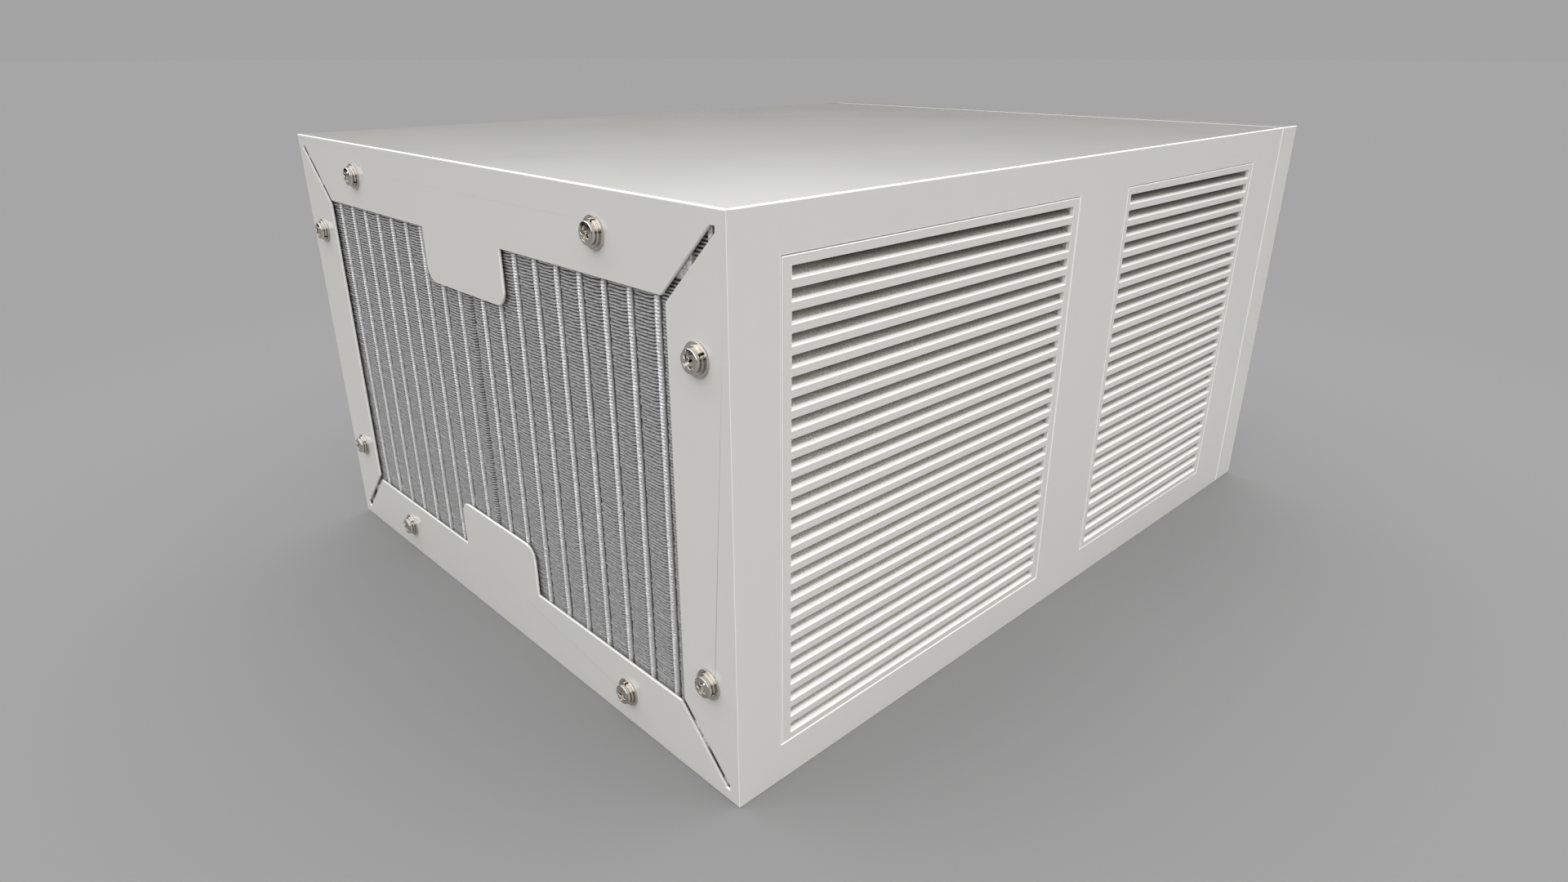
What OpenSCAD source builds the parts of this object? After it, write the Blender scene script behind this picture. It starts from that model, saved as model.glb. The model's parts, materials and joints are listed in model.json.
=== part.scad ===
// Liquid cooling radiator unit: a folded sheet housing holds a tube and fin core behind its open
// front, two fans, a divider, and behind that the pump, the reservoir, the hoses and the electrics.
// X runs across the front, Y from the front flange to the rear cap, Z up from the resting face.

/* [Housing] */
// Width across the front
body_w = 200; // [199:0.5:206]
// Height from the resting face to the top
body_h = 128; // [127.5:0.5:132]
// Depth from the front flange to the back of the rear cap
body_d = 253.5; // [252:0.5:262]
// Depth of the rear cap
cap_d = 12; // [10:0.5:14]
// Thickness of the folded sheet
sheet = 0.7; // [0.6:0.1:1]

/* [Front flange] */
// Width of the flange around the core
flange_w = 18; // [16:0.5:19]
// Width of the two tabs at the middle of the opening
tab_w = 40; // [30:1:50]
// Length of the tabs
tab_l = 14; // [8:0.5:20]
// Radius at the tips of the tabs
tab_r = 4; // [2:0.5:6]
// Width of the mitre slots
mitre_w = 1.5; // [1:0.1:2.5]
// Distance from the end of a mitre slot to the outer edges
mitre_end = 3.2; // [2:0.1:6]
// Sideways distance of the top and bottom screws from the middle
screw_dx = 60; // [50:1:70]
// Distance of the side screws above and below the middle
screw_dz = 36; // [30:1:38]

/* [Vents] */
// Height of the vent inserts' lower edge
vent_z = 9.9; // [8:0.1:12]
// Height of a vent insert
vent_h = 108.5; // [106:0.5:110]
// Distance between two slots
slot_pitch = 4.255; // [4:0.005:4.3]
// Number of slots in an insert
slot_n = 25; // [15:2:25]
// Height of a slot at the outer face
slot_h = 2.4; // [1.6:0.1:2.8]
// Rise of a slot for each millimetre inwards
slot_rise = 0.3; // [0.2:0.05:0.6]
// Total thickness of a vent insert
insert_t = 4; // [3:0.1:4]

/* [Core] */
// Thickness of the core from front to back
core_t = 27; // [25:0.5:28]
// Distance between two flat tubes
tube_pitch = 8.95; // [8.5:0.05:9]
// Half the distance between the two middle tubes
tube_x0 = 6.12; // [5.5:0.02:6.2]
// Width of a flat tube
tube_w = 2; // [1.6:0.1:2.2]
// Height of one fold of the fins
fold_h = 4; // [3:0.5:6]

/* [Fans] */
// Side of a fan's square frame
fan_side = 92; // [90:0.5:92]
// Depth of a fan
fan_t = 25; // [25:0.5:27]
// Number of blades on a fan
blade_n = 7; // [5:1:9]

/* [Coolant] */
// Outer radius of the hoses
hose_r = 6; // [5.8:0.1:6.1]
// Radius of the threaded hole in a coolant port
port_r = 5.9; // [5.6:0.1:6]
// Lead of the filler cap's thread
cap_lead = 1.5; // [1:0.5:2]

/* [Power] */
// Angle that the power rocker leans each way
rocker_lean = 12; // [8:1:12]

/* [Hidden] */
$fn = 48;

// Cutters run past the faces that they cut by this much
over = 1;
front_y = -body_d / 2;
back_y = body_d / 2;
seam_y = back_y - cap_d;
inner_w = body_w - 2 * sheet;
inner_h = body_h - 2 * sheet;
open_w = body_w - 2 * flange_w;
open_h = body_h - 2 * flange_w;
mid_z = body_h / 2;
// The flange screws stand on the middle of the flange
screw_z = body_h - flange_w / 2;
screw_x = body_w / 2 - flange_w / 2;
// Each pair of vents: nearest edge and farthest edge from the front, and the rim beside its slots
front_vent = [12.8, 115.3, 2.7];
rear_vent = [139.7, 221.2, 2.1];
vent_gap = 0.15;
vent_lap = 4;
// M3 hardware
m3_r = 1.5;
m3_clear_r = 1.7;
washer_r = 3.5;
washer_t = 0.5;
lock_r = 2.9;
lock_t = 0.6;
head_r = 2.45;
head_h = 1.3;
screw_l = 8;
// Core: its front face touches the back of the flange
core_y = front_y + sheet;
core_back = core_y + core_t;
tube_n = 10;
tube_wall = 0.35;
tube_setback = 2.6;
tube_x = [for (k = [0 : tube_n - 1]) tube_x0 + k * tube_pitch];
tube_end = 0.5;
tank_h = 13.1;
tank_wall = 1.2;
tank_gap = 0.2;
tank_x = tube_x[tube_n - 1] + 2.73;
core_x = body_w / 2 - 4.4;
plate_t = 1.2;
plate_setback = 3;
header_t = 1.5;
fin_z0 = sheet + tank_gap + tank_h;
fin_z1 = body_h - fin_z0;
fin_t = 0.3;
block_h = 12;
// Fans and their shroud
shroud_t = 8;
shroud_wall = 1.5;
shroud_w = 186;
shroud_h = 94;
fan_y = core_back + shroud_t;
fan_bore_r = 43.5;
fan_hole = 41.25;
fan_hub_r = 19;
fan_shaft_r = 1.5;
bearing_r = 4;
fan_play = 0.03;
// Divider between the fan room and the pump room
divider_y = front_y + 126.15;
wire_hole_z = 16;
wire_hole_r = 5;
// Coolant line
hose_bore_r = 4.5;
stub_bore_r = 3.3;
stub_l = 16;
stub_z = body_h - 9.5;
hole_r = 7;
return_x = -76;
radiator_x = 60;
return_z = 62;
bend_r = 26;
bend_y = 30;
port_l = 15;
port_body_r = 9;
port_flange_t = 3;
port_bore_l = 13;
hex_r = 12.7;
// Reservoir above the pump
res_x = [14, 88];
res_y = [23, 104];
res_z = 64;
res_top = body_h - 2;
res_wall = 2.5;
neck_z = 108;
neck_r = 11;
neck_bore_r = 8;
neck_end = back_y + 1;
cap_turns = 6;
// Pump
pump_x = 51;
pump_y = 50;
pump_r = 30;
pump_z = 4;
pump_top = 44;
volute_top = 58;
can_r = 12.8;
impeller_play = 0.05;
pump_shaft_r = 2;
outlet_x = pump_x + 17;
outlet_z = 48.5;
pump_screw_pcd_r = 27.6;
// Rear corners
bracket = 12;
bracket_y = back_y - 22;
rear_screw_x = inner_w / 2 - bracket / 2;
// Electrics
socket_x = -30;
switch_x = -65;
power_z = 30;
switch_w = 10.8;
switch_h = 18.2;
rocker_play = 0.06;
board = [-92, 18, 8];
board_size = [70, 60, 1.6];

housing_grey = [0.77, 0.765, 0.745];

// ---------------------------------------------------------------- helpers

// Local +Z points out of the front face, local +Y up
module at_front(x, z) {
  translate([x, front_y, z]) rotate([90, 0, 0]) children();
}

// Local +Z points backwards, local +Y up
module facing_back(x, y, z) {
  translate([x, y, z]) rotate([90, 0, 180]) children();
}

module mirrored_x() {
  children();
  mirror([1, 0, 0]) children();
}

module ring(outer_r, inner_r, h) {
  difference() {
    cylinder(r = outer_r, h = h);
    translate([0, 0, -over]) cylinder(r = inner_r, h = h + 2 * over);
  }
}

module box(low, high) {
  translate(low) cube(high - low);
}

module front_screw_places() {
  for (s = [-1, 1]) {
    at_front(s * screw_dx, screw_z) rotate(20 + 50 * s) children();
    at_front(s * screw_dx, body_h - screw_z) rotate(65 + 20 * s) children();
    at_front(s * screw_x, mid_z + screw_dz) rotate(35 * s) children();
    at_front(s * screw_x, mid_z - screw_dz) rotate(10 - 25 * s) children();
  }
}

module rear_screw_places() {
  for (s = [-1, 1], z = [sheet + bracket / 2, body_h - sheet - bracket / 2])
    facing_back(s * rear_screw_x, back_y, z) children();
}

// Pan head on z = 0 with a cross recess, and its threaded shank below
module pan_screw(shank_r, shank_l, head_r, head_h) {
  dome_h = 0.4;
  recess = 0.9;
  dome_r = (head_r * head_r + dome_h * dome_h) / (2 * dome_h);
  wing = 0.58 * head_r;
  wing_w = 0.8;
  difference() {
    intersection() {
      cylinder(r = head_r, h = head_h);
      translate([0, 0, head_h - dome_r]) sphere(dome_r);
    }
    for (a = [0, 90])
      rotate(a) translate([-wing, -wing_w / 2, head_h - recess]) cube([2 * wing, wing_w, 2]);
    translate([0, 0, head_h - recess - 0.1])
      cylinder(r1 = wing_w / 2, r2 = 0.36 * head_r, h = recess + 0.2);
  }
  translate([0, 0, -shank_l]) cylinder(r = shank_r, h = shank_l + 0.2);
}

function unit(v) = v / norm(v);
// Direction of a route at its point i, halfway between the stretches on both sides
function heading(p, i) = unit(
  (i == 0 ? [0, 0, 0] : unit(p[i] - p[i - 1]))
  + (i == len(p) - 1 ? [0, 0, 0] : unit(p[i + 1] - p[i])));
function circle_at(c, dir, r, n) =
  let (u = unit(cross(dir, [0.2, 0.1, 1])), v = cross(dir, u))
  [for (k = [0 : n - 1]) c + r * (cos(360 * k / n) * u + sin(360 * k / n) * v)];

// Round lead along the given points
module lead(points, r) {
  n = 8;
  last = len(points) - 1;
  rings = [for (i = [0 : last]) each circle_at(points[i], heading(points, i), r, n)];
  sides = [for (i = [0 : last - 1], k = [0 : n - 1])
    [i * n + k, i * n + (k + 1) % n, (i + 1) * n + (k + 1) % n, (i + 1) * n + k]];
  caps = [[for (k = [n - 1 : -1 : 0]) k], [for (k = [0 : n - 1]) last * n + k]];
  polyhedron(points = rings, faces = concat(sides, caps));
}

// ---------------------------------------------------------------- housing

module tab_2d() {
  translate([-tab_w / 2, tab_r - tab_l]) square([tab_w, tab_l - tab_r + over]);
  translate([tab_r - tab_w / 2, -tab_l]) square([tab_w - 2 * tab_r, tab_l]);
  for (s = [-1, 1]) translate([s * (tab_w / 2 - tab_r), tab_r - tab_l]) circle(tab_r);
}

module opening_2d() {
  difference() {
    translate([-open_w / 2, -open_h / 2]) square([open_w, open_h]);
    translate([0, open_h / 2]) tab_2d();
    mirror([0, 1]) translate([0, open_h / 2]) tab_2d();
  }
}

// A slot along the diagonal of one corner, with its end parallel to the outer edges
module mitre_slot_2d() {
  translate([open_w / 2, open_h / 2]) intersection() {
    rotate(45) translate([-mitre_w, -mitre_w / 2]) square([2 * flange_w, mitre_w]);
    translate([-mitre_w, -mitre_w]) square(flange_w - mitre_end + mitre_w);
  }
}

module flange_cut_2d() {
  opening_2d();
  for (mx = [0, 1], mz = [0, 1]) mirror([mx, 0]) mirror([0, mz]) mitre_slot_2d();
}

module outer_sleeve() {
  color(housing_grey)
  difference() {
    box([-body_w / 2, front_y, 0], [body_w / 2, seam_y, body_h]);
    box([-inner_w / 2, front_y + sheet, sheet], [inner_w / 2, seam_y + over, body_h - sheet]);
    at_front(0, mid_z) translate([0, 0, -2 * sheet]) linear_extrude(4 * sheet) flange_cut_2d();
    front_screw_places() translate([0, 0, -2 * sheet]) cylinder(r = m3_clear_r, h = 4 * sheet);
    for (v = [front_vent, rear_vent])
      box([-body_w / 2 - over, front_y + v[0], vent_z],
          [body_w / 2 + over, front_y + v[1], vent_z + vent_h]);
  }
}

module rear_cap() {
  color(housing_grey)
  difference() {
    box([-body_w / 2, seam_y, 0], [body_w / 2, back_y, body_h]);
    box([-inner_w / 2, seam_y - over, sheet], [inner_w / 2, back_y - sheet, body_h - sheet]);
    rear_screw_places() translate([0, 0, -2 * sheet]) cylinder(r = m3_clear_r, h = 4 * sheet);
    for (p = [[return_x, return_z], [outlet_x, outlet_z]])
      facing_back(p[0], back_y - 2 * sheet, p[1]) cylinder(r = port_body_r + 0.1, h = 4 * sheet);
    facing_back(pump_x, back_y - 2 * sheet, neck_z) cylinder(r = neck_r + 0.3, h = 4 * sheet);
    facing_back(socket_x, back_y - 2 * sheet, power_z) cylinder(r = 5.6, h = 4 * sheet);
    box([switch_x - 6.5, back_y - 2 * sheet, power_z - 10.2],
        [switch_x + 6.5, back_y + over, power_z + 10.2]);
  }
}

// One slot that rises inwards through the right-hand wall
module louvre_slot(y0, y1, z) {
  x_out = body_w / 2;
  translate([0, y1, z]) rotate([90, 0, 0]) linear_extrude(y1 - y0)
    polygon([
      [x_out + over, -slot_h / 2 - over * slot_rise],
      [x_out + over, slot_h / 2 - over * slot_rise],
      [x_out - insert_t - over, slot_h / 2 + (insert_t + over) * slot_rise],
      [x_out - insert_t - over, -slot_h / 2 + (insert_t + over) * slot_rise]
    ]);
}

// Right-hand vent insert: a face that fills the window and a wider back that laps the wall
module louvre_insert(vent) {
  y0 = front_y + vent[0];
  y1 = front_y + vent[1];
  z1 = vent_z + vent_h;
  color(housing_grey)
  difference() {
    union() {
      box([body_w / 2 - sheet, y0 + vent_gap, vent_z + vent_gap],
          [body_w / 2, y1 - vent_gap, z1 - vent_gap]);
      box([body_w / 2 - insert_t, y0 - vent_lap, vent_z - vent_lap],
          [body_w / 2 - sheet, y1 + vent_lap, z1 + vent_lap]);
    }
    for (i = [0 : slot_n - 1])
      louvre_slot(y0 + vent[2], y1 - vent[2], mid_z + (i - (slot_n - 1) / 2) * slot_pitch);
  }
}

module louvre_front_left() { mirror([1, 0, 0]) louvre_insert(front_vent); }
module louvre_front_right() { louvre_insert(front_vent); }
module louvre_rear_left() { mirror([1, 0, 0]) louvre_insert(rear_vent); }
module louvre_rear_right() { louvre_insert(rear_vent); }

module divider_holes(r_hose, r_wire, h) {
  for (x = [return_x, radiator_x])
    facing_back(x, divider_y + sheet / 2 - h / 2, stub_z) cylinder(r = r_hose, h = h);
  facing_back(0, divider_y + sheet / 2 - h / 2, wire_hole_z) cylinder(r = r_wire, h = h);
}

module divider_panel() {
  fold = 9;
  color([0.72, 0.72, 0.71])
  difference() {
    union() {
      box([-inner_w / 2, divider_y, sheet], [inner_w / 2, divider_y + sheet, body_h - sheet]);
      box([-inner_w / 2, divider_y, sheet], [inner_w / 2, divider_y + fold, 2 * sheet]);
    }
    divider_holes(hole_r, wire_hole_r, 4 * sheet);
  }
}

module divider_grommets() {
  lip = 1.2;
  color([0.08, 0.08, 0.08])
  difference() {
    union() {
      divider_holes(hole_r, wire_hole_r, sheet + 2 * lip);
      translate([0, (sheet + lip) / 2, 0]) divider_holes(hole_r + lip, wire_hole_r + lip, lip);
      translate([0, -(sheet + lip) / 2, 0]) divider_holes(hole_r + lip, wire_hole_r + lip, lip);
    }
    divider_holes(hose_r, wire_hole_r - 1.2, 10 * sheet);
  }
}

module rear_brackets() {
  color([0.7, 0.7, 0.7])
  difference() {
    for (x = [-inner_w / 2, inner_w / 2 - bracket], z = [sheet, body_h - sheet - bracket])
      box([x, bracket_y, z], [x + bracket, back_y - sheet, z + bracket]);
    rear_screw_places() translate([0, 0, -14]) cylinder(r = m3_r, h = 14);
  }
}

module front_screws() {
  color([0.62, 0.59, 0.55])
  front_screw_places()
    translate([0, 0, washer_t + lock_t]) pan_screw(m3_r, screw_l, head_r, head_h);
}

module front_lock_washers() {
  color([0.62, 0.6, 0.57])
  front_screw_places() translate([0, 0, washer_t]) difference() {
    ring(lock_r, m3_r + 0.1, lock_t);
    translate([0, -0.25, -over]) cube([lock_r + over, 0.5, lock_t + 2 * over]);
  }
}

module front_washers() {
  color([0.66, 0.64, 0.6])
  front_screw_places() ring(washer_r, m3_r + 0.1, washer_t);
}

module rear_screws() {
  color([0.62, 0.59, 0.55])
  rear_screw_places() pan_screw(m3_r, screw_l, head_r, head_h);
}

// ---------------------------------------------------------------- core

// Section of a flat tube, set back from the core's two faces and grown by a margin
module flat_tube_2d(setback, grow = 0) {
  w = tube_w + 2 * grow;
  y0 = core_y + setback - grow;
  y1 = core_back - setback + grow;
  translate([-w / 2, y0 + w / 2]) square([w, y1 - y0 - w]);
  for (y = [y0 + w / 2, y1 - w / 2]) translate([0, y]) circle(w / 2);
}

module tube_places() {
  for (x = tube_x, s = [-1, 1]) translate([s * x, 0, 0]) children();
}

// Each tube is full depth between the headers, and narrowed where it enters them
module core_tubes() {
  end_l = header_t + tube_end;
  color([0.85, 0.86, 0.87])
  tube_places() difference() {
    union() {
      translate([0, 0, fin_z0]) linear_extrude(fin_z1 - fin_z0) flat_tube_2d(0.1);
      translate([0, 0, fin_z0 - end_l])
        linear_extrude(fin_z1 - fin_z0 + 2 * end_l) flat_tube_2d(tube_setback);
    }
    translate([0, 0, fin_z0 - end_l - over])
      linear_extrude(fin_z1 - fin_z0 + 2 * (end_l + over)) flat_tube_2d(tube_setback, -tube_wall);
  }
}

// One folded strip of fins on the side s of the middle, between x0 and x1 and from z0 to z1
module fin_strip(s, x0, x1, z0, z1) {
  folds = floor((z1 - z0) / fold_h);
  step = (z1 - z0) / folds;
  // Width of the sheet where it is cut along X
  m = fin_t / sin(atan(step / (x1 - x0)));
  inner = [for (i = [0 : folds]) [s * (i % 2 == 0 ? x0 + m : x1), z0 + i * step]];
  outer = [for (i = [folds : -1 : 0]) [s * (i % 2 == 0 ? x0 : x1 - m), z0 + i * step]];
  translate([0, core_back - 0.2, 0]) rotate([90, 0, 0])
    linear_extrude(core_t - 0.5) polygon(concat(inner, outer));
}

module core_fins() {
  half_tube = tube_w / 2;
  last = tube_x[tube_n - 1] + half_tube;
  blocks = [mid_z - screw_dz, mid_z + screw_dz];
  half_block = block_h / 2;
  color([0.6, 0.6, 0.61])
  for (s = [-1, 1]) {
    fin_strip(s, plate_t / 2, tube_x0 - half_tube, fin_z0, fin_z1);
    for (k = [1 : tube_n - 1])
      fin_strip(s, tube_x[k - 1] + half_tube, tube_x[k] - half_tube, fin_z0, fin_z1);
    fin_strip(s, last, core_x - plate_t, fin_z0, blocks[0] - half_block);
    fin_strip(s, last, core_x - plate_t, blocks[0] + half_block, blocks[1] - half_block);
    fin_strip(s, last, core_x - plate_t, blocks[1] + half_block, fin_z1);
    fin_strip(s, tank_x, core_x - plate_t, sheet + tank_wall, fin_z0 - fin_t);
    fin_strip(s, tank_x, core_x - plate_t, fin_z1 + fin_t, body_h - sheet - tank_wall);
  }
}

module core_plates() {
  color([0.75, 0.75, 0.76]) {
    mirrored_x() box([core_x - plate_t, core_y, sheet + tank_wall],
                     [core_x, core_back, body_h - sheet - tank_wall]);
    box([-plate_t / 2, core_y + plate_setback, fin_z0], [plate_t / 2, core_back, fin_z1]);
  }
}

module core_nut_blocks() {
  last = tube_x[tube_n - 1] + tube_w / 2;
  color([0.7, 0.66, 0.5])
  difference() {
    for (s = [-1, 1], z = [mid_z - screw_dz, mid_z + screw_dz])
      box([min(s * last, s * (core_x - plate_t)), core_y, z - block_h / 2],
          [max(s * last, s * (core_x - plate_t)), core_y + 10, z + block_h / 2]);
    front_screw_places() translate([0, 0, -sheet - 8.5]) cylinder(r = m3_r, h = 8.5 + sheet);
  }
}

module header_plates() {
  low = fin_z0 - header_t;
  color([0.72, 0.72, 0.73])
  for (z = [low, fin_z1])
    translate([0, 0, z]) linear_extrude(header_t) difference() {
      translate([-tank_x + tank_wall, core_y + tank_wall])
        square([2 * (tank_x - tank_wall), core_t - 2 * tank_wall]);
      tube_places_2d();
    }
}

module tube_places_2d() {
  for (x = tube_x, s = [-1, 1]) translate([s * x, 0]) flat_tube_2d(tube_setback);
}

// Tank over the upper ends of the tubes, with the screw bosses in its front wall
module tank_shell() {
  z0 = fin_z1;
  z1 = body_h - sheet - tank_gap;
  difference() {
    union() {
      difference() {
        box([-tank_x, core_y, z0], [tank_x, core_back, z1]);
        box([tank_wall - tank_x, core_y + tank_wall, z0 - over],
            [tank_x - tank_wall, core_back - tank_wall, z1 - tank_wall]);
      }
      intersection() {
        for (s = [-1, 1])
          at_front(s * screw_dx, screw_z) translate([0, 0, -sheet - 10]) cylinder(r = 3.6, h = 10);
        box([-tank_x, core_y, z0 + header_t + tube_end], [tank_x, core_back, z1]);
      }
    }
    for (s = [-1, 1])
      at_front(s * screw_dx, screw_z) translate([0, 0, -sheet - 8]) cylinder(r = m3_r, h = 8 + over);
  }
}

module top_tank() {
  color([0.7, 0.7, 0.71])
  difference() {
    union() {
      tank_shell();
      box([-plate_t / 2, core_y + tank_wall, fin_z1 + header_t],
          [plate_t / 2, core_back - tank_wall, body_h - sheet - tank_gap]);
      for (x = [return_x, radiator_x])
        facing_back(x, core_back - tank_wall / 2, stub_z)
          cylinder(r = hose_bore_r, h = stub_l + tank_wall / 2);
    }
    for (x = [return_x, radiator_x])
      facing_back(x, core_back - tank_wall - over, stub_z)
        cylinder(r = stub_bore_r, h = stub_l + tank_wall + 2 * over);
  }
}

module bottom_tank() {
  color([0.7, 0.7, 0.71])
  translate([0, 0, body_h]) mirror([0, 0, 1]) tank_shell();
}

// ---------------------------------------------------------------- fans

module fan_shroud() {
  x1 = shroud_w / 2;
  z0 = mid_z - shroud_h / 2;
  z1 = mid_z + shroud_h / 2;
  color([0.16, 0.16, 0.17])
  difference() {
    box([-x1, core_back, z0], [x1, fan_y, z1]);
    box([shroud_wall - x1, core_back - over, z0 + shroud_wall],
        [x1 - shroud_wall, fan_y - shroud_wall, z1 - shroud_wall]);
    for (s = [-1, 1]) facing_back(s * fan_side / 2, fan_y - 2 * shroud_wall, mid_z) {
      cylinder(r = fan_bore_r, h = 4 * shroud_wall);
      fan_hole_places() cylinder(r = 1.9, h = 4 * shroud_wall);
    }
  }
}

module fan_hole_places() {
  for (x = [-fan_hole, fan_hole], y = [-fan_hole, fan_hole]) translate([x, y, 0]) children();
}

module fan_place(side) {
  facing_back(side * fan_side / 2, fan_y, mid_z) children();
}

module fan_screws() {
  color([0.3, 0.3, 0.31])
  for (s = [-1, 1]) fan_place(s) fan_hole_places()
    translate([0, 0, fan_t]) pan_screw(1.9, fan_t + shroud_wall, 3.4, 2.4);
}

module fan_flange(h) {
  corner_r = 5;
  half = fan_side / 2;
  linear_extrude(h) {
    square([fan_side - 2 * corner_r, fan_side], center = true);
    square([fan_side, fan_side - 2 * corner_r], center = true);
    for (x = [corner_r - half, half - corner_r], y = [corner_r - half, half - corner_r])
      translate([x, y]) circle(corner_r);
  }
}

// Square frame with its motor carrier on four struts at the outlet
module fan_frame() {
  flange = 3.6;
  base = 3;
  color([0.13, 0.13, 0.14]) {
    difference() {
      union() {
        fan_flange(flange);
        translate([0, 0, fan_t - flange]) fan_flange(flange);
        cylinder(r = fan_bore_r + 1.8, h = fan_t);
        fan_hole_places() cylinder(r = 4, h = fan_t);
      }
      translate([0, 0, -over]) cylinder(r = fan_bore_r, h = fan_t + 2 * over);
      fan_hole_places() translate([0, 0, -over]) cylinder(r = 2.15, h = fan_t + 2 * over);
    }
    translate([0, 0, fan_t - base]) cylinder(r = fan_hub_r, h = base);
    for (a = [45 : 90 : 315])
      rotate(a) translate([fan_hub_r - 1, -1.6, fan_t - base])
        cube([fan_bore_r - fan_hub_r + 2, 3.2, base]);
    translate([0, 0, 7]) ring(bearing_r + 1.2, bearing_r, fan_t - base - 6.9);
  }
}

// A curved blade, cut from a ring whose axis is radial
module fan_blade() {
  arc_r = 25;
  pitch_angle = 38;
  tip_r = fan_bore_r - 1;
  intersection() {
    translate([0, 0, 2.5]) ring(tip_r, fan_hub_r - 0.4, 16.8);
    translate([0, -arc_r * sin(pitch_angle), 11.5 + arc_r * cos(pitch_angle)])
      rotate([0, 90, 0]) ring(arc_r + 0.8, arc_r - 0.8, tip_r + over);
    translate([0, -14, 0]) cube([tip_r + over, 24, fan_t]);
  }
}

// Hub cup with its blades
module fan_rotor() {
  cup_h = 18.5;
  wall = 1.4;
  boss_r = 3.4;
  color([0.13, 0.13, 0.14]) {
    difference() {
      translate([0, 0, 1.5]) cylinder(r = fan_hub_r, h = cup_h);
      translate([0, 0, 3.5]) ring(fan_hub_r - wall, boss_r, cup_h);
      translate([0, 0, 6]) cylinder(r = fan_hub_r - wall, h = cup_h);
      translate([0, 0, 2.5]) cylinder(r = fan_shaft_r, h = cup_h);
    }
    for (i = [0 : blade_n - 1]) rotate(i * 360 / blade_n) fan_blade();
  }
}

module fan_magnet() {
  color([0.25, 0.24, 0.24])
  translate([0, 0, 6]) ring(fan_hub_r - 1.4, fan_hub_r - 3, 13);
}

module fan_shaft() {
  color([0.75, 0.75, 0.76])
  translate([0, 0, 2.5]) cylinder(r = fan_shaft_r, h = 19);
}

module fan_bearings() {
  color([0.7, 0.7, 0.71])
  for (z = [7.5, 18]) translate([0, 0, z]) ring(bearing_r, fan_shaft_r + fan_play, 3);
}

// Laminated core with four poles, and a coil on each
module fan_stator() {
  yoke_r = bearing_r + 1.2;
  color([0.6, 0.36, 0.2])
  difference() {
    union() {
      translate([0, 0, 10]) ring(yoke_r + 2, yoke_r, 8);
      for (a = [0 : 90 : 270]) rotate(a) {
        translate([yoke_r + 1, -1.5, 10]) cube([8, 3, 8]);
        translate([yoke_r + 1.5, -3, 8.8]) cube([5.5, 6, 10.4]);
        intersection() {
          translate([0, 0, 10]) ring(15.2, 13.4, 8);
          translate([0, -8, 0]) cube([20, 16, fan_t]);
        }
      }
    }
    translate([0, 0, -over]) cylinder(r = yoke_r, h = fan_t);
  }
}

module left_fan_frame() { fan_place(-1) fan_frame(); }
module left_fan_rotor() { fan_place(-1) fan_rotor(); }
module left_fan_magnet() { fan_place(-1) fan_magnet(); }
module left_fan_shaft() { fan_place(-1) fan_shaft(); }
module left_fan_bearings() { fan_place(-1) fan_bearings(); }
module left_fan_stator() { fan_place(-1) fan_stator(); }
module right_fan_frame() { fan_place(1) fan_frame(); }
module right_fan_rotor() { fan_place(1) fan_rotor(); }
module right_fan_magnet() { fan_place(1) fan_magnet(); }
module right_fan_shaft() { fan_place(1) fan_shaft(); }
module right_fan_bearings() { fan_place(1) fan_bearings(); }
module right_fan_stator() { fan_place(1) fan_stator(); }

// ---------------------------------------------------------------- pump

module at_pump(z) {
  translate([pump_x, pump_y, z]) children();
}

module pump_screw_places() {
  for (a = [45 : 90 : 315]) rotate(a) translate([pump_screw_pcd_r, 0, 0]) children();
}

module pump_pad() {
  color([0.09, 0.09, 0.09])
  at_pump(sheet) cylinder(r = pump_r - 4, h = pump_z - sheet);
}

// Outer cup and the thin can that keeps the coolant away from the coils
module pump_casing() {
  wall = 1.5;
  flange_z = pump_top - 4;
  color([0.14, 0.14, 0.15])
  difference() {
    at_pump(pump_z) cylinder(r = pump_r, h = pump_top - pump_z);
    at_pump(pump_z + 4) ring(pump_r - wall, can_r + 1.2, flange_z - pump_z - 4);
    at_pump(pump_z + 8) cylinder(r = can_r, h = pump_top);
    at_pump(pump_z + 3) cylinder(r = pump_shaft_r, h = 20);
    at_pump(flange_z) pump_screw_places() cylinder(r = 1.25, h = 6);
  }
}

module pump_stator() {
  color([0.6, 0.36, 0.2])
  at_pump(pump_z + 7) difference() {
    cylinder(r = 26, h = 26);
    translate([0, 0, -over]) cylinder(r = can_r + 1.5, h = 28);
    for (a = [0 : 60 : 300])
      rotate(a) translate([can_r + 4, -2.6, -over]) cube([7.5, 5.2, 28]);
  }
}

module pump_shaft() {
  color([0.93, 0.92, 0.88])
  at_pump(pump_z + 3) cylinder(r = pump_shaft_r, h = 45);
}

// Magnet core, disc and swept vanes
module pump_impeller() {
  disc_z = pump_top + 0.7;
  disc_r = 19;
  disc_t = 1.6;
  vane_h = 5.2;
  bore_r = pump_shaft_r + impeller_play;
  color([0.2, 0.21, 0.23])
  difference() {
    union() {
      at_pump(pump_z + 9) cylinder(r = can_r - 0.8, h = disc_z - pump_z - 9);
      at_pump(disc_z) cylinder(r = disc_r, h = disc_t);
      at_pump(disc_z) cylinder(r = 4.2, h = 6);
      at_pump(disc_z + 0.4) for (a = [0 : 60 : 300]) rotate(a) intersection() {
        translate([11, -9, 0]) ring(13, 11.6, vane_h);
        translate([3, 0, -over]) cube([disc_r, 8, vane_h + 2 * over]);
        translate([0, 0, -over]) cylinder(r = disc_r - 0.5, h = vane_h + 2 * over);
      }
    }
    at_pump(0) cylinder(r = bore_r, h = 70);
  }
}

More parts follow.
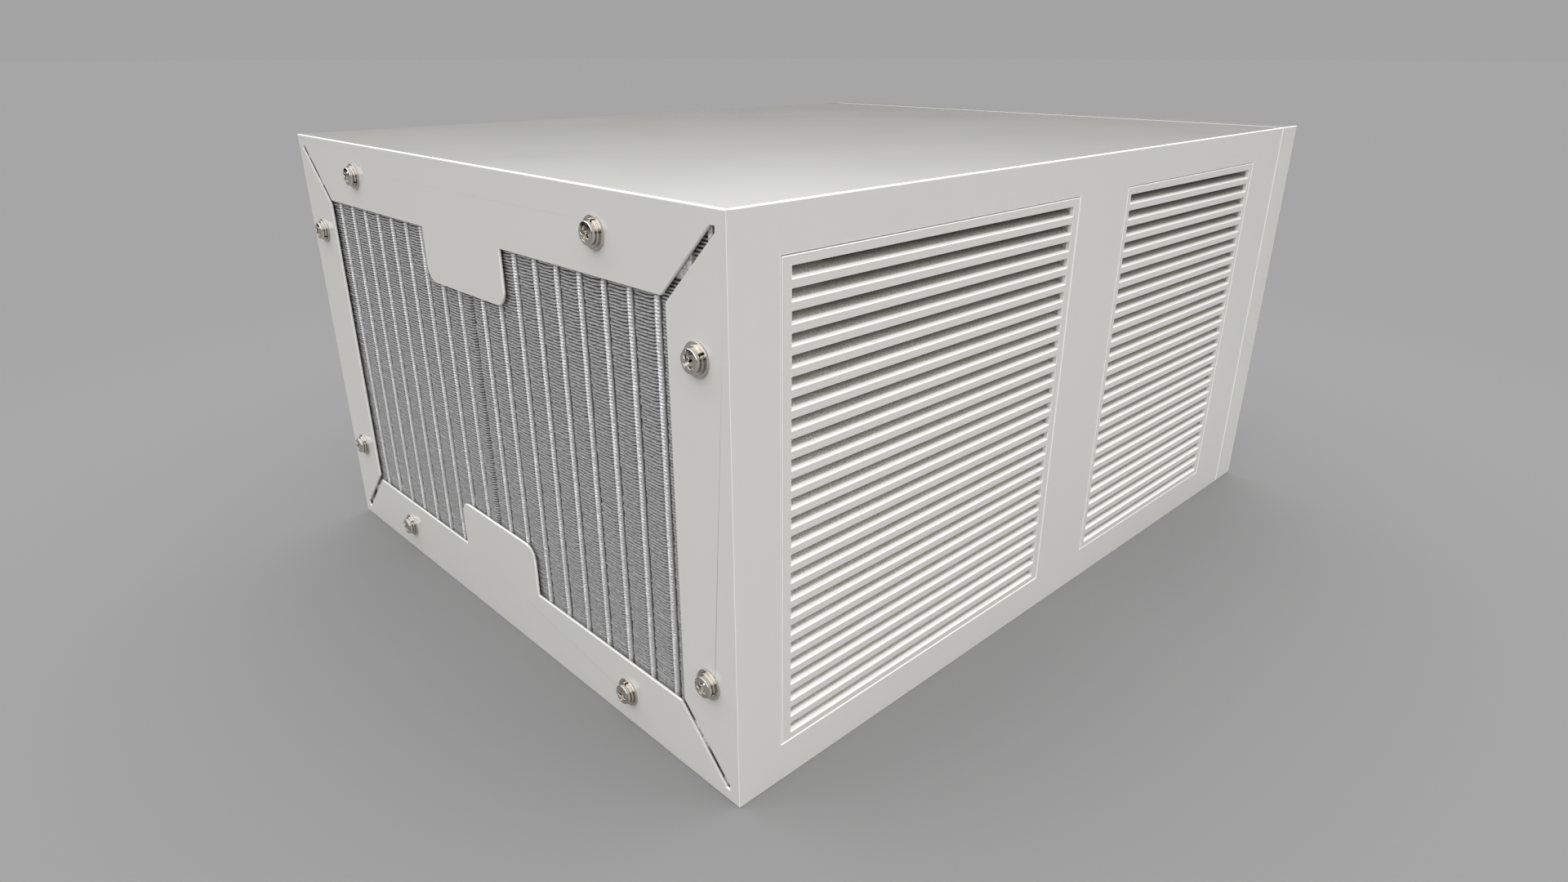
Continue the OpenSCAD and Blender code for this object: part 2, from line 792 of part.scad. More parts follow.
module pump_o_ring() {
  color([0.07, 0.07, 0.07])
  at_pump(pump_top + 0.76) rotate_extrude() translate([24.3, 0]) circle(0.75);
}

// Spiral chamber with the inlet on its axis and the outlet stub at its side
module pump_volute() {
  roof = 6;
  color([0.2, 0.2, 0.21])
  difference() {
    union() {
      at_pump(pump_top) cylinder(r = pump_r, h = volute_top - pump_top);
      at_pump(volute_top - over) cylinder(r = 9, h = res_z - volute_top + over);
      facing_back(outlet_x, pump_y + 20, outlet_z) cylinder(r = hose_bore_r, h = 8 + stub_l);
    }
    at_pump(pump_top - over) cylinder(r = 22, h = volute_top - roof - pump_top + over);
    at_pump(pump_top - over) cylinder(r = 6, h = 40);
    facing_back(outlet_x, pump_y, outlet_z) cylinder(r = stub_bore_r, h = 60);
    at_pump(pump_top - over) ring(25.3, 23.3, 1.55 + over);
    at_pump(pump_top - over) pump_screw_places() cylinder(r = 1.25, h = 20);
  }
}

module pump_screws() {
  color([0.62, 0.6, 0.57])
  at_pump(volute_top) pump_screw_places() pan_screw(1.25, volute_top - pump_top + 3, 2.3, 1.8);
}

// ---------------------------------------------------------------- reservoir

module reservoir_tank() {
  low = [res_x[0], res_y[0], res_z];
  high = [res_x[1], res_y[1], res_top];
  wall = [res_wall, res_wall, 0];
  color([0.85, 0.87, 0.88])
  difference() {
    union() {
      box(low, high);
      facing_back(pump_x, res_y[1] - over, neck_z)
        cylinder(r = neck_r, h = neck_end - res_y[1] + over);
      facing_back(radiator_x, res_y[0] - stub_l, stub_z)
        cylinder(r = hose_bore_r, h = stub_l + over);
    }
    box(low + wall - [0, 0, over], high - wall - [0, 0, res_wall]);
    facing_back(pump_x, res_y[1] - res_wall - over, neck_z) cylinder(r = neck_bore_r, h = 40);
    facing_back(radiator_x, res_y[0] - stub_l - over, stub_z)
      cylinder(r = stub_bore_r, h = stub_l + 6);
  }
}

module reservoir_base() {
  plate = 3;
  leg_r = 4;
  inset = 5;
  color([0.15, 0.15, 0.16])
  difference() {
    union() {
      box([res_x[0], res_y[0], res_z - plate], [res_x[1], res_y[1], res_z]);
      for (x = [res_x[0] + inset, res_x[1] - inset], y = [res_y[0] + inset, res_y[1] - inset])
        translate([x, y, sheet]) cylinder(r = leg_r, h = res_z - plate - sheet);
    }
    at_pump(res_z - plate - over) cylinder(r = 9, h = plate + 2 * over);
  }
}

// Knurled screw cap; its underside holds the O-ring
module filler_cap() {
  head = 7;
  thread_l = cap_turns * cap_lead;
  play = 0.05;
  color([0.12, 0.12, 0.13])
  facing_back(pump_x, neck_end + play, neck_z) difference() {
    union() {
      cylinder(r = 13.5, h = head);
      translate([0, 0, -thread_l]) cylinder(r = neck_bore_r - play, h = thread_l + over);
    }
    ring_cut(10.6, 8.6, 1.8);
    for (a = [0 : 18 : 342])
      rotate(a) translate([14.1, 0, -over]) cylinder(r = 1.2, h = head + 2 * over);
    translate([0, 0, head - 1]) ring_cut(11, 9.6, 2);
  }
}

module ring_cut(outer_r, inner_r, h) {
  translate([0, 0, -over]) ring(outer_r, inner_r, h + over);
}

module filler_o_ring() {
  color([0.07, 0.07, 0.07])
  facing_back(pump_x, neck_end + 0.93, neck_z) rotate_extrude() translate([9.6, 0]) circle(0.88);
}

// ---------------------------------------------------------------- coolant line

// Bulkhead with its threaded mouth outside and its hose stub inside
module bulkhead(x, z) {
  color([0.72, 0.72, 0.7])
  facing_back(x, back_y, z) difference() {
    union() {
      cylinder(r = hex_r, h = port_flange_t, $fn = 6);
      translate([0, 0, -port_l]) cylinder(r = port_body_r, h = port_l + over);
      translate([0, 0, -port_l - stub_l]) cylinder(r = hose_bore_r, h = stub_l + over);
    }
    translate([0, 0, port_flange_t - port_bore_l]) cylinder(r = port_r, h = port_bore_l + over);
    translate([0, 0, -port_l - stub_l - over]) cylinder(r = stub_bore_r, h = port_l + stub_l);
  }
}

module coolant_in_port() { bulkhead(return_x, return_z); }
module coolant_out_port() { bulkhead(outlet_x, outlet_z); }

module port_nuts() {
  nut_t = 5;
  color([0.72, 0.72, 0.7])
  for (p = [[return_x, return_z], [outlet_x, outlet_z]])
    facing_back(p[0], back_y - sheet - nut_t, p[1]) difference() {
      cylinder(r = hex_r, h = nut_t, $fn = 6);
      translate([0, 0, -over]) cylinder(r = port_body_r, h = nut_t + 2 * over);
    }
}

module straight_hose(x, z, y0, y1, r) {
  facing_back(x, y0, z) cylinder(r = r, h = y1 - y0);
}

// Quarter of a ring in the plane of Y and Z, from angle a0
module bend(x, y, z, a0, r) {
  translate([x, y, z]) rotate([90, 0, 90]) rotate([0, 0, a0])
    rotate_extrude(angle = 90) translate([bend_r, 0]) circle(r);
}

// Back from the core, down through two bends, and back again to the return port
module return_line(r, extra) {
  down_y = bend_y + bend_r;
  straight_hose(return_x, stub_z, core_back + over - extra, bend_y, r);
  bend(return_x, bend_y, stub_z - bend_r, 0, r);
  translate([return_x, down_y, return_z + bend_r])
    cylinder(r = r, h = stub_z - return_z - 2 * bend_r);
  bend(return_x, down_y + bend_r, return_z + bend_r, 180, r);
  straight_hose(return_x, return_z, down_y + bend_r, back_y - port_l - over + extra, r);
}

module return_hose() {
  color([0.1, 0.1, 0.11])
  difference() {
    return_line(hose_r, 0);
    return_line(hose_bore_r, over);
  }
}

module radiator_hose() {
  y0 = core_back + over;
  y1 = res_y[0] - over;
  color([0.1, 0.1, 0.11])
  difference() {
    straight_hose(radiator_x, stub_z, y0, y1, hose_r);
    straight_hose(radiator_x, stub_z, y0 - over, y1 + over, hose_bore_r);
  }
}

module supply_hose() {
  y0 = pump_y + 29;
  y1 = back_y - port_l - over;
  color([0.1, 0.1, 0.11])
  difference() {
    straight_hose(outlet_x, outlet_z, y0, y1, hose_r);
    straight_hose(outlet_x, outlet_z, y0 - over, y1 + over, hose_bore_r);
  }
}

// Screw clamp on a hose end, with its ear to the side
module clamp(x, y, z) {
  w = 6;
  t = 0.8;
  facing_back(x, y - w / 2, z) {
    ring(hose_r + t, hose_r, w);
    difference() {
      translate([hose_r + 0.2, -2.5, 0]) cube([4, 5, w]);
      translate([0, 0, -over]) cylinder(r = hose_r + t / 2, h = w + 2 * over);
    }
  }
}

module hose_clamps() {
  inset = 8;
  color([0.68, 0.68, 0.69]) {
    clamp(return_x, core_back + inset, stub_z);
    clamp(radiator_x, core_back + inset, stub_z);
    clamp(radiator_x, res_y[0] - inset, stub_z);
    clamp(return_x, back_y - port_l - inset, return_z);
    clamp(outlet_x, back_y - port_l - inset, outlet_z);
    clamp(outlet_x, pump_y + 37, outlet_z);
  }
}

// ---------------------------------------------------------------- electrics

// Round low-voltage inlet with its centre pin
module power_socket() {
  color([0.1, 0.1, 0.11])
  facing_back(socket_x, back_y, power_z) {
    difference() {
      union() {
        cylinder(r = 7.2, h = 1.6);
        translate([0, 0, -14]) cylinder(r = 5.5, h = 14 + over);
        translate([0, 0, -sheet - 2.5]) cylinder(r = 7.5, h = 2.5, $fn = 6);
      }
      translate([0, 0, -9]) cylinder(r = 3.15, h = 12);
    }
    translate([0, 0, -10]) cylinder(r = 1.05, h = 9);
  }
}

module switch_case() {
  wall = 1;
  deep = 15;
  color([0.1, 0.1, 0.11])
  facing_back(switch_x, back_y, power_z) difference() {
    union() {
      translate([-7.6, -11.3, 0]) cube([15.2, 22.6, 2]);
      translate([-switch_w / 2 - wall, -switch_h / 2 - wall, -deep])
        cube([switch_w + 2 * wall, switch_h + 2 * wall, deep + over]);
    }
    translate([-switch_w / 2, -switch_h / 2, wall - deep]) cube([switch_w, switch_h, deep + 3]);
    translate([-8, 0, -2]) rotate([0, 90, 0]) cylinder(r = 1.2 + rocker_play, h = 16);
  }
}

// Rocker with two faces that meet in a shallow valley, leaning to its off side
module switch_rocker() {
  half = switch_w / 2 - 0.3;
  rim_y = 3 + 8 * tan(rocker_lean);
  color([0.16, 0.16, 0.17])
  translate([switch_x, back_y - 2, power_z]) rotate([-rocker_lean, 0, 0]) {
    translate([-half, 0, 0]) rotate([90, 0, 90]) linear_extrude(2 * half)
      polygon([
        [-5, -4.5], [0, -7.5], [3, -8], [rim_y + 2, -8], [5, 0],
        [rim_y + 2, 8], [3, 8], [0, 7.5], [-5, 4.5]
      ]);
    translate([-switch_w / 2 - 0.8, 0, 0]) rotate([0, 90, 0]) cylinder(r = 1.2, h = switch_w + 1.6);
  }
}

// Circuit board with its connectors, capacitors and finned heat sink
module control_board() {
  top = board[2] + board_size[2];
  color([0.07, 0.3, 0.17]) {
    difference() {
      translate(board) cube(board_size);
      board_holes(1.6, 3);
    }
    for (x = [-84, -68, -52, -38]) translate([x, 22, top - 0.1]) cube([9, 6, 7.1]);
    for (x = [-70, -42]) translate([x, 66, top - 0.1]) cube([11, 8, 8.1]);
    for (x = [-80, -68]) translate([x, 56, top - 0.1]) cylinder(r = 4.5, h = 14.1);
    translate([-40, 54, top - 0.1]) cylinder(r = 6, h = 7.1);
    translate([-82, 36, top - 0.1]) cube([24, 12, 3]);
    for (i = [0 : 5]) translate([-82 + i * 4.4, 36, top]) cube([2, 12, 12]);
    translate([-48, 36, top - 0.1]) cube([12, 12, 1.6]);
  }
}

module board_holes(r, inset) {
  for (x = [board[0] + inset, board[0] + board_size[0] - inset])
    for (y = [board[1] + inset, board[1] + board_size[1] - inset])
      translate([x, y, sheet - over]) cylinder(r = r, h = board[2] + 4);
}

module board_standoffs() {
  color([0.78, 0.68, 0.42])
  for (x = [board[0] + 3, board[0] + board_size[0] - 3])
    for (y = [board[1] + 3, board[1] + board_size[1] - 3]) translate([x, y, sheet]) {
      cylinder(r = 3, h = board[2] - sheet, $fn = 6);
      cylinder(r = 1.6, h = board[2] + board_size[2] - sheet);
      translate([0, 0, board[2] + board_size[2] - sheet]) cylinder(r = 2.6, h = 1.4);
    }
}

// Leads from the board to the fans, the pump, the switch and the socket
module wiring_loom() {
  fan_back = fan_y + fan_t;
  fan_lead_r = 1.2;
  power_lead_r = 1.6;
  color([0.12, 0.12, 0.13]) {
    lead([
      [-46, fan_back, 19.8], [-46, -60, 19.8], [-46, -52, 14], [-10, -40, 8], [-2, -14, 15],
      [-2, 8, 15], [-33, 15, 13], [-33, 22, 13]
    ], fan_lead_r);
    lead([
      [46, fan_back, 19.8], [46, -60, 19.8], [46, -52, 14], [10, -40, 8], [2, -14, 17],
      [2, 8, 17], [-8, 12, 23], [-44, 20, 24], [-47.5, 25, 21], [-47.5, 25, 16.6]
    ], fan_lead_r);
    lead([
      [21, pump_y, 14], [16, pump_y, 14], [4, 44, 8], [-16, 28, 13], [-24, 25, 14], [-29, 25, 14]
    ], power_lead_r);
    lead([
      [socket_x, back_y - 14, power_z], [socket_x, 108, power_z], [socket_x, 99, 26],
      [-35, 86, 16], [-36, 80, 14], [-36, 74, 14]
    ], power_lead_r);
    lead([
      [switch_x, back_y - 15, power_z], [switch_x, 107, power_z], [switch_x, 99, 26],
      [-64.5, 86, 16], [-64.5, 80, 14], [-64.5, 74, 14]
    ], power_lead_r);
  }
}

outer_sleeve();
rear_cap();
louvre_front_left();
louvre_front_right();
louvre_rear_left();
louvre_rear_right();
divider_panel();
divider_grommets();
rear_brackets();
front_screws();
front_lock_washers();
front_washers();
rear_screws();
core_tubes();
core_fins();
core_plates();
core_nut_blocks();
header_plates();
top_tank();
bottom_tank();
fan_shroud();
fan_screws();
left_fan_frame();
left_fan_rotor();
left_fan_magnet();
left_fan_shaft();
left_fan_bearings();
left_fan_stator();
right_fan_frame();
right_fan_rotor();
right_fan_magnet();
right_fan_shaft();
right_fan_bearings();
right_fan_stator();
pump_pad();
pump_casing();
pump_stator();
pump_shaft();
pump_impeller();
pump_o_ring();
pump_volute();
pump_screws();
reservoir_tank();
reservoir_base();
filler_cap();
filler_o_ring();
coolant_in_port();
coolant_out_port();
port_nuts();
return_hose();
radiator_hose();
supply_hose();
hose_clamps();
power_socket();
switch_case();
switch_rocker();
control_board();
board_standoffs();
wiring_loom();
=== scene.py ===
"""Liquid cooling radiator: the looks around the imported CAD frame. Metres, in the CAD's own frame."""

import json
import math
import random

import bpy
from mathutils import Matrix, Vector, noise


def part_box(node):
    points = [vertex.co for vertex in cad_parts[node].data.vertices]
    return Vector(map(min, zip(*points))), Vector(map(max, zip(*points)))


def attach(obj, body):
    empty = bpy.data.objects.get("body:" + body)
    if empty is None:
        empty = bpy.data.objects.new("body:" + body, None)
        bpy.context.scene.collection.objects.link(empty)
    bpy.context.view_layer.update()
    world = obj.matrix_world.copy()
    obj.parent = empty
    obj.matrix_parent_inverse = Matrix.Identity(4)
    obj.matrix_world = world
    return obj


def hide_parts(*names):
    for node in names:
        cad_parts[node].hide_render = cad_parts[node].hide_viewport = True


MM = 0.001

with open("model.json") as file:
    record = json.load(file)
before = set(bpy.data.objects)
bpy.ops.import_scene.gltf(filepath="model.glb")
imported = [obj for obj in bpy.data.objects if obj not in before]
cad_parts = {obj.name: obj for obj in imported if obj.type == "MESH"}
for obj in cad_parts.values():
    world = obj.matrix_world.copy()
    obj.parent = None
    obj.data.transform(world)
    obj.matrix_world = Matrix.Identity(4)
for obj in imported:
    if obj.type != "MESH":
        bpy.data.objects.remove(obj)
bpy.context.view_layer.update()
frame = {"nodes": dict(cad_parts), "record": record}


def add_object(name, data):
    """A new object in the scene."""
    made = bpy.data.objects.new(name, data)
    bpy.context.scene.collection.objects.link(made)
    return made


def look_along(made, heading):
    """Turns a camera or a light to look along heading."""
    made.rotation_euler = Vector(heading).to_track_quat("-Z", "Y").to_euler()


# ---------------------------------------------------------------- camera

CAMERA_PLACE = (0.22106, -0.23024, 0.15297)
CAMERA_HEADING = (-0.663735, 0.640879, -0.385654)


def make_camera():
    """A wide view from the front right corner, a little above the top."""
    data = bpy.data.cameras.new("camera")
    data.lens = 21.75
    data.sensor_width = 36
    data.clip_start = 0.01
    camera = add_object("camera", data)
    camera.location = CAMERA_PLACE
    look_along(camera, CAMERA_HEADING)
    bpy.context.scene.camera = camera


make_camera()

# ---------------------------------------------------------------- material helpers


class Paint:
    """A Principled material and the few node moves that the materials below share."""

    def __init__(self, name, color, roughness, metallic=0.0):
        self.material = bpy.data.materials.new(name)
        self.material.use_nodes = True
        self.tree = self.material.node_tree
        self.shader = self.tree.nodes["Principled BSDF"]
        self.set("Base Color", (*color, 1))
        self.set("Roughness", roughness)
        self.set("Metallic", metallic)
        self.place = self.node("TexCoord").outputs["Object"]

    def set(self, socket, value):
        self.shader.inputs[socket].default_value = value

    def link(self, output, socket):
        self.tree.links.new(output, socket)

    def node(self, kind):
        return self.tree.nodes.new("ShaderNode" + kind)

    def sides(self, vector):
        """The X, Y and Z outputs of a vector."""
        node = self.node("SeparateXYZ")
        self.link(vector, node.inputs["Vector"])
        return node.outputs

    def stretched(self, scale):
        """The object's own coordinates, scaled along each axis."""
        node = self.node("Mapping")
        node.inputs["Scale"].default_value = scale
        self.link(self.place, node.inputs["Vector"])
        return node.outputs["Vector"]

    def noise(self, per_metre, detail=2.0, roughness=0.5, vector=None):
        node = self.node("TexNoise")
        node.inputs["Scale"].default_value = per_metre
        node.inputs["Detail"].default_value = detail
        node.inputs["Roughness"].default_value = roughness
        self.link(vector or self.place, node.inputs["Vector"])
        return node.outputs["Fac"]

    def cells(self, per_metre):
        node = self.node("TexVoronoi")
        node.inputs["Scale"].default_value = per_metre
        self.link(self.place, node.inputs["Vector"])
        return node.outputs["Color"]

    def between(self, factor, low, high, start=0.0, end=1.0):
        """factor from start to end becomes a value from low to high."""
        node = self.node("MapRange")
        node.inputs["From Min"].default_value = start
        node.inputs["From Max"].default_value = end
        node.inputs["To Min"].default_value = low
        node.inputs["To Max"].default_value = high
        self.link(factor, node.inputs["Value"])
        return node.outputs["Result"]

    def blend(self, factor, first, second):
        """Two colours or colour outputs mixed by factor."""
        node = self.node("Mix")
        node.data_type = "RGBA"
        self.link(factor, node.inputs["Factor"])
        for socket, value in ((node.inputs["A"], first), (node.inputs["B"], second)):
            if isinstance(value, tuple):
                socket.default_value = (*value, 1)
            else:
                self.link(value, socket)
        return node.outputs["Result"]

    def maths(self, operation, first, second=None):
        node = self.node("Math")
        node.operation = operation
        for socket, value in zip(node.inputs, (first, second)):
            if isinstance(value, (int, float)):
                socket.default_value = value
            elif value is not None:
                self.link(value, socket)
        return node.outputs["Value"]

    def color(self, output):
        self.link(output, self.shader.inputs["Base Color"])

    def rough(self, output):
        self.link(output, self.shader.inputs["Roughness"])

    def bump(self, height, depth):
        """Relief from a height of 0 to 1, depth metres deep."""
        node = self.node("Bump")
        node.inputs["Distance"].default_value = depth
        self.link(height, node.inputs["Height"])
        self.link(node.outputs["Normal"], self.shader.inputs["Normal"])

    def edges(self, radius):
        """From 0 on a flat face towards 1 on a sharp edge."""
        bevel = self.node("Bevel")
        bevel.inputs["Radius"].default_value = radius
        dot = self.node("VectorMath")
        dot.operation = "DOT_PRODUCT"
        self.link(bevel.outputs["Normal"], dot.inputs[0])
        self.link(self.node("NewGeometry").outputs["True Normal"], dot.inputs[1])
        return self.between(dot.outputs["Value"], 1, 0, 0.75, 0.995)

    def rounded(self):
        """The mask of the painted edge highlight: 0 on faces that look along an axis and in the flange's
        slanting slots, 1 on other rounding.
        """
        size = self.node("VectorMath")
        size.operation = "ABSOLUTE"
        self.link(self.node("NewGeometry").outputs["True Normal"], size.inputs[0])
        normal = self.sides(size.outputs["Vector"])
        widest = self.maths("MAXIMUM", normal["X"], normal["Y"])
        widest = self.maths("MAXIMUM", widest, normal["Z"])
        turned = self.between(widest, 1, 0, 0.94, 0.985)
        slant = self.between(self.maths("MINIMUM", normal["X"], normal["Z"]), 0, 1, 0.1, 0.2)
        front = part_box("outer_sleeve")[0].y
        in_flange = self.between(self.along("Y"), 1, 0, front + 1 * MM, front + 1.2 * MM)
        return self.maths("SUBTRACT", turned, self.maths("MULTIPLY", slant, in_flange))

    def along(self, axis):
        """One coordinate of the object's own space, in metres."""
        return self.sides(self.place)[axis]


# ---------------------------------------------------------------- materials


# Near white, painted on the sheet's edges and on the lips of the louvre slots: a painted highlight
PAINTED_HIGHLIGHT = (0.98, 0.975, 0.955)


def painted_sheet(name):
    """Grey powder paint under a clear coat, and its colour, which is paler along the edges: a painted
    highlight.
    """
    p = Paint(name, (0.69, 0.685, 0.66), 0.5)
    speck = p.noise(9000, 2)
    cloud = p.noise(35, 3)
    tone = p.blend(cloud, (0.683, 0.678, 0.652), (0.7, 0.695, 0.671))
    # The rounded edges are painted paler: a painted highlight
    edge_highlighted = p.blend(p.rounded(), tone, PAINTED_HIGHLIGHT)
    p.set("Specular IOR Level", 0.15)
    p.set("Coat Weight", 1.0)
    p.set("Coat Roughness", 0.07)
    p.rough(p.between(cloud, 0.45, 0.55, 0.3, 0.7))
    p.bump(speck, 0.006 * MM)
    return p, edge_highlighted


def housing_paint():
    """The folded sheet metal outside."""
    p, tone = painted_sheet("housing paint")
    p.color(tone)
    return p


def louvre_paint():
    """The housing's paint on the face, a painted highlight on the lips of the slots, and deeper in them a
    darker grainy colour: dust and painted shade.
    """
    p, tone = painted_sheet("louvre paint")
    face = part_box("louvre_front_right")[1].x
    depth = p.maths("SUBTRACT", face, p.maths("ABSOLUTE", p.along("X")))
    # The lips of the slots are painted near white: a painted highlight
    lip_highlight = p.blend(p.between(depth, 0, 1, 0.02 * MM, 0.12 * MM), tone, PAINTED_HIGHLIGHT)
    # Grainy and darker deeper in the slots: dust and painted shade in the recess
    grain = p.between(p.noise(4200, 2, 0.7), 0, 1, 0.36, 0.64)
    dust_and_shade = p.blend(grain, (0.25, 0.24, 0.212), (0.8, 0.785, 0.72))
    p.color(p.blend(p.between(depth, 0, 1, 0.75 * MM, 1.3 * MM), lip_highlight, dust_and_shade))
    return p


def galvanised_sheet():
    """The sheet metal inside, with zinc spangle."""
    p = Paint("galvanised sheet", (0.6, 0.61, 0.62), 0.45, 1.0)
    spangle = p.cells(160)
    p.color(p.blend(spangle, (0.5, 0.51, 0.53), (0.68, 0.69, 0.7)))
    p.rough(p.between(spangle, 0.34, 0.56))
    p.bump(p.noise(3000, 3), 0.008 * MM)
    return p


def turned_metal(name, dark, light, low, high, relief=0.004):
    """Machined or plated metal: fine grain, relief mm deep, blotches and a paler colour on its edges."""
    p = Paint(name, light, low, 1.0)
    blotch = p.noise(500, 4, 0.6)
    tone = p.blend(blotch, dark, light)
    p.color(p.blend(p.edges(0.12 * MM), tone, tuple(min(1, c * 1.25) for c in light)))
    p.rough(p.between(p.noise(6000, 3), low, high, 0.3, 0.7))
    p.bump(p.noise(2400, 3, 0.6), relief * MM)
    return p


def drawn_aluminium(name, dark, light, low, high, metallic=1.0):
    """Aluminium with a fine grain along its length, which runs up and down, and its blotched colour."""
    p = Paint(name, light, low, metallic)
    grain = p.noise(1, 3, 0.6, p.stretched((9000, 9000, 500)))
    p.rough(p.between(grain, low, high, 0.3, 0.7))
    p.bump(grain, 0.01 * MM)
    return p, p.blend(p.noise(900, 3), dark, light)


def tube_aluminium():
    """Bright on the tubes' noses, and painted dark down their sides beside the fins: painted shade."""
    p, tone = drawn_aluminium("tube aluminium", (0.5, 0.5, 0.5), (0.73, 0.73, 0.73), 0.28, 0.45, 0.5)
    depth = p.maths("SUBTRACT", p.along("Y"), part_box("core_tubes")[0].y)
    # The tubes' sides darken with depth: painted shade beside the fins
    side = p.between(depth, 0, 1, 0.55 * MM, 0.95 * MM)
    p.color(p.blend(side, tone, (0.2, 0.2, 0.2)))
    return p


def fin_aluminium():
    """Thin sheet with a broken shine."""
    p, tone = drawn_aluminium("fin aluminium", (0.59, 0.59, 0.59), (0.85, 0.85, 0.85), 0.25, 0.45, 0.5)
    glints = p.between(p.noise(1500, 2, 0.7), 0, 1, 0.35, 0.65)
    p.color(p.blend(glints, (0.43, 0.43, 0.43), tone))
    return p


def core_aluminium():
    """Cast and brazed pieces round the core: mottled with flux."""
    p, tone = drawn_aluminium("core aluminium", (0.4, 0.4, 0.41), (0.66, 0.66, 0.66), 0.35, 0.6, 0.5)
    flux = p.between(p.noise(1300, 3, 0.7), 0, 1, 0.42, 0.62)
    p.color(p.blend(flux, tone, (0.95, 0.95, 0.95)))
    p.bump(flux, 0.05 * MM)
    return p


def black_rubber():
    """Hoses, grommets and seals, a little dusty."""
    p = Paint("black rubber", (0.02, 0.02, 0.021), 0.75)
    dust_and_shade = p.noise(700, 4, 0.65)
    p.color(p.blend(dust_and_shade, (0.013, 0.013, 0.014), (0.04, 0.04, 0.041)))
    p.rough(p.between(dust_and_shade, 0.62, 0.85, 0.3, 0.7))
    p.bump(p.noise(2600, 3), 0.02 * MM)
    return p


def moulded(name, dark, light, low=0.4, high=0.6):
    """Moulded plastic with a spark-eroded grain."""
    p = Paint(name, light, low)
    grain = p.noise(5200, 2)
    p.color(p.blend(p.noise(120, 3), dark, light))
    p.rough(p.between(grain, low, high, 0.3, 0.7))
    p.bump(grain, 0.012 * MM)
    return p


def copper_coil():
    """Wound wire under varnish."""
    p = Paint("copper coil", (0.62, 0.28, 0.14), 0.35, 1.0)
    turns = p.noise(1, 1, 0.4, p.stretched((400, 5200, 5200)))
    p.color(p.blend(turns, (0.42, 0.16, 0.07), (0.78, 0.38, 0.2)))
    p.rough(p.between(turns, 0.28, 0.5, 0.3, 0.7))
    p.bump(turns, 0.05 * MM)
    return p


def clear_tank():
    """Clear plastic with a slight haze."""
    p = Paint("clear tank", (0.86, 0.9, 0.92), 0.12)
    p.set("Transmission Weight", 0.85)
    p.set("IOR", 1.49)
    haze = p.noise(260, 4, 0.6)
    p.rough(p.between(haze, 0.08, 0.24, 0.3, 0.7))
    p.bump(p.noise(90, 2), 0.02 * MM)
    return p


def circuit_board():
    """Green mask on the board, and dark moulded parts above it."""
    p = Paint("circuit board", (0.02, 0.16, 0.07), 0.45)
    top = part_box("control_board")[0].z + 1.62 * MM
    height = p.along("Z")
    above = p.maths("GREATER_THAN", height, top)
    cans = p.maths("GREATER_THAN", height, top + 8.4 * MM)
    tracks = p.between(p.cells(420), 0, 1, 0.45, 0.55)
    mask = p.blend(tracks, (0.012, 0.12, 0.05), (0.03, 0.2, 0.09))
    parts = p.blend(cans, (0.03, 0.03, 0.032), (0.45, 0.46, 0.48))
    p.color(p.blend(above, mask, parts))
    p.rough(p.between(p.noise(900, 2), 0.3, 0.55, 0.3, 0.7))
    p.bump(tracks, 0.03 * MM)
    return p


MATERIALS = {
    "housing_paint": housing_paint(),
    "galvanised_sheet": galvanised_sheet(),
    "screw_nickel": turned_metal("screw nickel", (0.42, 0.39, 0.36), (0.8, 0.76, 0.7), 0.06, 0.16, 0.03),
    "small_steel": turned_metal("small steel", (0.36, 0.36, 0.37), (0.56, 0.56, 0.57), 0.24, 0.42),
    "tube_aluminium": tube_aluminium(),
    "fin_aluminium": fin_aluminium(),
    "core_aluminium": core_aluminium(),
    "brass": turned_metal("brass", (0.5, 0.36, 0.14), (0.78, 0.6, 0.28), 0.25, 0.42),
    "black_rubber": black_rubber(),
    "black_plastic": moulded("black plastic", (0.018, 0.018, 0.02), (0.034, 0.034, 0.036)),
    "switch_plastic": moulded("switch plastic", (0.02, 0.02, 0.022), (0.04, 0.04, 0.042), 0.25, 0.4),
    "ferrite": moulded("ferrite", (0.04, 0.038, 0.038), (0.09, 0.086, 0.085), 0.5, 0.75),
    "shaft_steel": turned_metal("shaft steel", (0.5, 0.5, 0.51), (0.72, 0.72, 0.73), 0.12, 0.24),
    "copper_coil": copper_coil(),
    "ceramic": moulded("ceramic", (0.78, 0.77, 0.73), (0.86, 0.85, 0.81), 0.15, 0.3),
    "clear_tank": clear_tank(),
    "port_nickel": turned_metal("port nickel", (0.42, 0.41, 0.38), (0.7, 0.68, 0.64), 0.16, 0.32),
    "circuit_board": circuit_board(),
    "lead_sleeve": moulded("lead sleeve", (0.012, 0.012, 0.013), (0.03, 0.03, 0.032), 0.45, 0.65),
}

# ---------------------------------------------------------------- carried-over CAD nodes

LOUVRES = ["louvre_front_left", "louvre_front_right", "louvre_rear_left", "louvre_rear_right"]

# How far each node's sharp edges are eased, in millimetres
EASED = {
    "outer_sleeve": 0.33, "rear_cap": 0.33, "louvre_front_left": 0.16, "louvre_front_right": 0.16,
    "louvre_rear_left": 0.16, "louvre_rear_right": 0.16, "front_screws": 0.16,
    "front_lock_washers": 0.12, "front_washers": 0.1, "rear_screws": 0.12, "filler_cap": 0.3,
    "coolant_in_port": 0.3, "coolant_out_port": 0.3, "power_socket": 0.25, "switch_case": 0.3,
    "switch_rocker": 0.4, "rear_brackets": 0.3, "top_tank": 0.3, "bottom_tank": 0.3,
    "fan_shroud": 0.3, "reservoir_base": 0.4, "port_nuts": 0.3,
}


